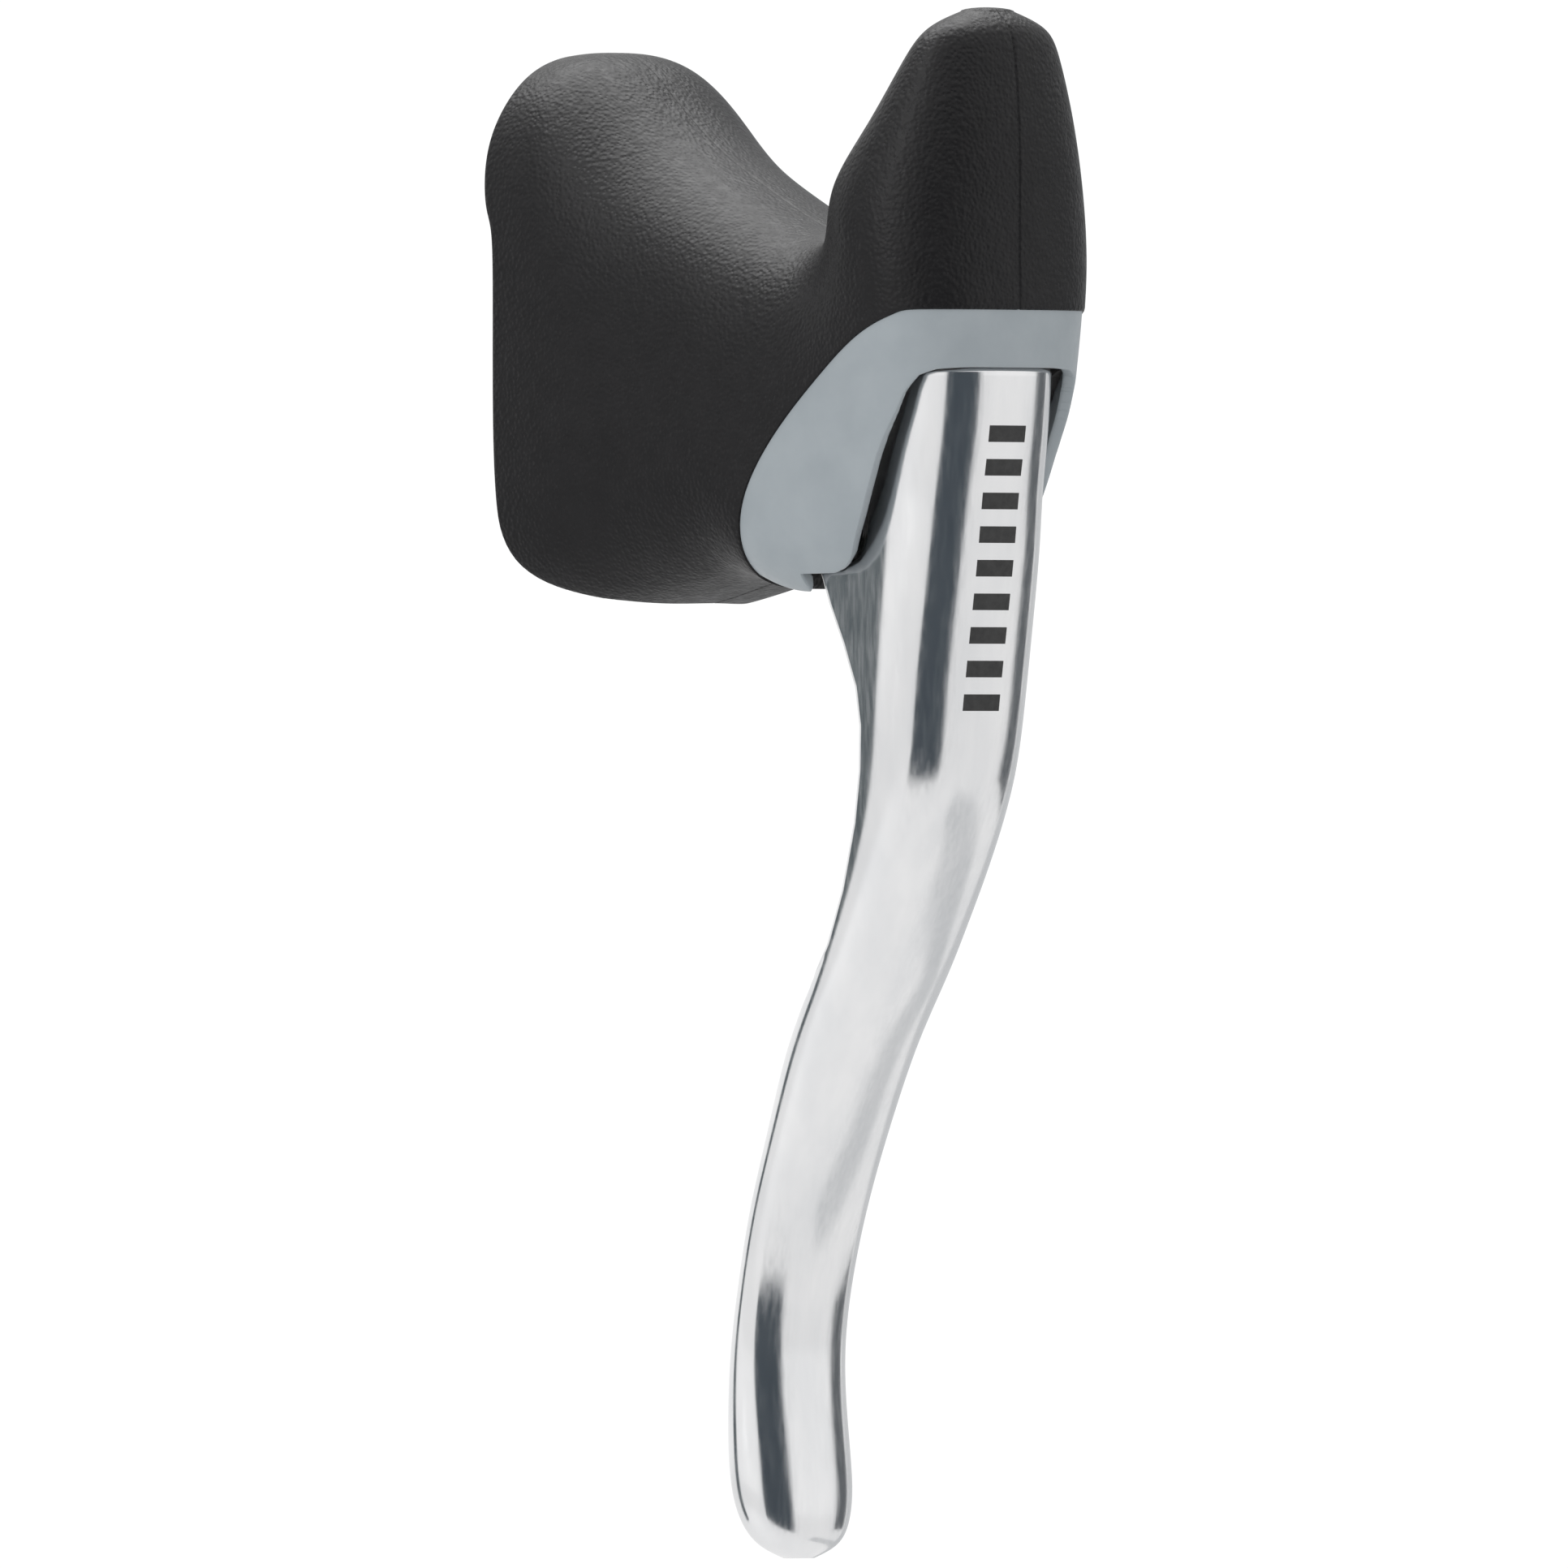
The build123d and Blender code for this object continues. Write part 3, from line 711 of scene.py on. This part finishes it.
# ---------------------------------------------------------------- blade
# points along each stretch of a level section, from its middle to one side
N_FRONT, N_SIDE, N_CORNER, N_LIP, N_TURN, N_FLOOR = 72, 34, 8, 5, 4, 16
WALL, WALL_ROUND = 2.0, 0.7         # the channel's side walls and their rear edges
FRONT_WALL, FLOOR_ROUND = 2.4, 4.5  # metal ahead of the channel, and the rounding of its floor
SOLID_TOP, SOLID_FADE = -61.5, 5.5  # below this the channel fades into a solid back
CAST_BOTTOM = -62.0                 # the channel is unpolished down to here
CHANNEL_POWER, BACK_POWER = 2.7, 2.2
BACK_SHARE = 0.98                   # depth of the solid back, as a share of the front's crown
STEP_SOFT = 1.6
TOP_RINGS, TOP_ROUND = 5, 0.7
EVEN_DOWN_TO = -123.4
TIP_LEVELS = [-123.6, -123.75, -123.85, -123.9]     # closer together, as the tip rounds off

# the blade's levels, for spacing its sections evenly in height
LEVELS = np.linspace(0, len(BLADE) - 1, 2000)
HEIGHTS = natural_spline(BLADE[:, :1], LEVELS)[:, 0]


def pairs(x, y):
    """Points from places along and across, either of which may be one number."""
    return np.stack(np.broadcast_arrays(x, y), -1)


def blade_section(t):
    """One level section of the blade, as a closed ring of points."""
    z, front, crown, half, power = natural_spline(BLADE, t)[0]
    mid = front - crown
    w, side = polar(np.linspace(-math.pi / 2, math.pi / 2, N_FRONT), power)
    ahead = pairs(mid + crown * w, half * side)
    # a channel with two side walls
    rear = float(np.interp(z, BLADE_REAR[::-1, 0], BLADE_REAR[::-1, 1]))
    deep = max(front - FRONT_WALL - rear, 0.4)
    bottom = rear + deep
    inner = half - WALL
    r = WALL_ROUND
    curve = min(FLOOR_ROUND, max(deep - r, 0.3))
    edge = np.linspace(0, math.pi / 2, N_CORNER + 1)[1:]
    turn = np.linspace(0, math.pi / 2, N_TURN + 1)[1:]
    w, side = polar(np.linspace(math.pi / 2, 0, N_FLOOR + 1)[1:], CHANNEL_POWER)
    channel = np.vstack([
        pairs(np.linspace(mid, rear + r, N_SIDE + 1)[1:], half),
        pairs(rear + r - r * np.sin(edge), half - r + r * np.cos(edge)),
        pairs(rear, np.linspace(half - r, inner + r, N_LIP + 1)[1:]),
        pairs(rear + r - r * np.cos(turn), inner + r - r * np.sin(turn)),
        pairs(np.linspace(rear + r, bottom - curve, N_TURN + 1)[1:], inner),
        pairs(bottom - curve + curve * w, inner * side),
    ])
    # a solid rounded back
    w, side = polar(np.linspace(math.pi / 2, math.pi, len(channel) + 1)[1:], BACK_POWER)
    back = mid - crown * BACK_SHARE
    solid = pairs(mid + (mid - back) * w, half * side)
    share = smooth((SOLID_TOP - z) / SOLID_FADE)
    behind = channel * (1 - share) + solid * share
    ring = np.vstack([ahead, behind, behind[:-1][::-1] * (1, -1)])
    return np.column_stack([ring, np.full(len(ring), z)])


def rounded_top(first):
    """Rings that round over the blade's top edge, from the highest down."""
    normal = np.roll(first, -1, 0) - np.roll(first, 1, 0)
    normal = np.stack([normal[:, 1], -normal[:, 0], 0 * normal[:, 0]], -1)
    normal /= np.maximum(np.linalg.norm(normal, axis=1), 1e-9)[:, None]
    rings = []
    for k in range(TOP_RINGS, 0, -1):
        a = math.pi / 2 * k / TOP_RINGS
        lift = np.array([0, 0, TOP_ROUND * math.sin(a)])
        rings.append(first - normal * TOP_ROUND * (1 - math.cos(a)) + lift)
    return np.array(rings)


def blade_polished():
    """The blade: stacked sections, with its ears stepped in, and the channel left as cast."""
    run = np.linspace(HEIGHTS[0], EVEN_DOWN_TO, 330)
    stops = np.interp(-np.concatenate([run, TIP_LEVELS]), -HEIGHTS, LEVELS)
    rings = np.array([blade_section(t) for t in stops])
    q = rings.reshape(-1, 3)
    d, _ = step_line.distance(q[:, 0], q[:, 2])
    over = np.maximum(np.abs(q[:, 1]) - EAR_HALF, 0) * smooth(-d / STEP_SOFT)
    q[:, 1] -= np.sign(q[:, 1]) * over
    rings = np.vstack([rounded_top(rings[0]), rings])
    rows, count = rings.shape[:2]
    faces = []
    for i in range(rows - 1):
        for j in range(count):
            m = (j + 1) % count
            faces.append([i * count + j, (i + 1) * count + j, (i + 1) * count + m, i * count + m])
    faces.append(list(range(count)))
    faces.append([(rows - 1) * count + j for j in reversed(range(count))])
    blade = new_mesh("blade_polished", rings.reshape(-1, 3), faces, "polished_alloy")
    blade.data.materials.append(CAST)
    lip_end = N_FRONT + N_SIDE + N_CORNER + N_LIP
    for i in range(int((rings[:, 0, 2] > CAST_BOTTOM).sum())):
        for j in range(lip_end, count - (lip_end - N_FRONT)):
            blade.data.polygons[i * count + j].material_index = 1
    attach(blade, "lever")
    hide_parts("lever_blade")


blade_polished()

# ---------------------------------------------------------------- printed bars on the blade
BAR_COUNT, BAR_TOP, BAR_PITCH, BAR_TALL, BAR_HALF = 9, -7.2, 3.45, 1.7, 2.6
BAR_WIDE_POINTS, BAR_TALL_POINTS = 9, 4
INK = 0.05


def blade_front(z, y):
    """Distance forward of the blade's front face, at a height and a place across."""
    t = np.interp(-z, -HEIGHTS, LEVELS)
    front, crown, half, power = natural_spline(BLADE, t)[0][1:]
    return front - crown + crown * (1 - (abs(y) / half) ** power) ** (1 / power)


def print_bars():
    """A row of plain bars, as thin solids half sunk in the blade's front."""
    verts, faces = [], []
    wide, tall = BAR_WIDE_POINTS, BAR_TALL_POINTS
    back = wide * tall
    # the points round one bar's edge, in order
    edge = list(range(wide))
    edge += [i * wide + wide - 1 for i in range(1, tall)]
    edge += [(tall - 1) * wide + j for j in range(wide - 2, -1, -1)]
    edge += [i * wide for i in range(tall - 2, 0, -1)]
    for k in range(BAR_COUNT):
        upper = BAR_TOP - k * BAR_PITCH
        base = len(verts)
        for depth in (INK, -INK):
            for z in np.linspace(upper, upper - BAR_TALL, tall):
                for y in np.linspace(-BAR_HALF, BAR_HALF, wide):
                    verts.append((blade_front(z, y) + depth, y, z))
        for i in range(tall - 1):
            for j in range(wide - 1):
                a = base + i * wide + j
                faces.append([a, a + wide, a + wide + 1, a + 1])
                faces.append([a + back, a + back + 1, a + back + wide + 1, a + back + wide])
        for a, b in zip(edge, edge[1:] + edge[:1]):
            faces.append([base + a, base + b, base + b + back, base + a + back])
    bars = new_mesh("print_bars", verts, faces, "print_black")
    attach(bars, "lever")
    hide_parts("lever_mark")


print_bars()

# ---------------------------------------------------------------- return spring
COIL_R, COIL_HALF, COIL_TURNS, WIRE_R = 4.0, 2.9, 4, 0.6
LEG_LOW, LEG_HIGH = (49.8, -24.0), (36.3, 6.0)


def wire(name, path, radius, slot, sides=14):
    """A round wire along points in mm, with closed ends."""
    path = np.asarray(path, float)
    tangent = np.gradient(path, axis=0)
    tangent /= np.linalg.norm(tangent, axis=1)[:, None]
    across = np.cross(tangent[0], (0.0, 1.0, 0.0))
    verts, faces = [], []
    for p, t in zip(path, tangent):
        across = across - (across @ t) * t
        across /= np.linalg.norm(across)
        other = np.cross(t, across)
        for k in range(sides):
            a = 2 * math.pi * k / sides
            verts.append(p + radius * (math.cos(a) * across + math.sin(a) * other))
    for i in range(len(path) - 1):
        for k in range(sides):
            m = (k + 1) % sides
            faces.append([i * sides + k, i * sides + m, (i + 1) * sides + m, (i + 1) * sides + k])
    faces.append(list(range(sides))[::-1])
    faces.append([(len(path) - 1) * sides + k for k in range(sides)])
    return new_mesh(name, verts, faces, slot)


def spring_wire():
    """A coil round the pivot with two straight legs, one on the lever and one on the bracket."""
    turn = np.linspace(0, 2 * math.pi * COIL_TURNS, 40 * COIL_TURNS + 1)
    coil = np.stack([
        PIVOT[0] + COIL_R * np.cos(turn),
        np.linspace(-COIL_HALF, COIL_HALF, len(turn)),
        PIVOT[1] + COIL_R * np.sin(turn),
    ], -1)
    low = np.linspace((LEG_LOW[0], -COIL_HALF, LEG_LOW[1]), coil[0], 12)[:-1]
    high = np.linspace(coil[-1], (LEG_HIGH[0], COIL_HALF, LEG_HIGH[1]), 12)[1:]
    spring = wire("spring_wire", np.vstack([low, coil, high]), WIRE_R, "stainless")
    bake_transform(spring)
    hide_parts("return_spring")


spring_wire()
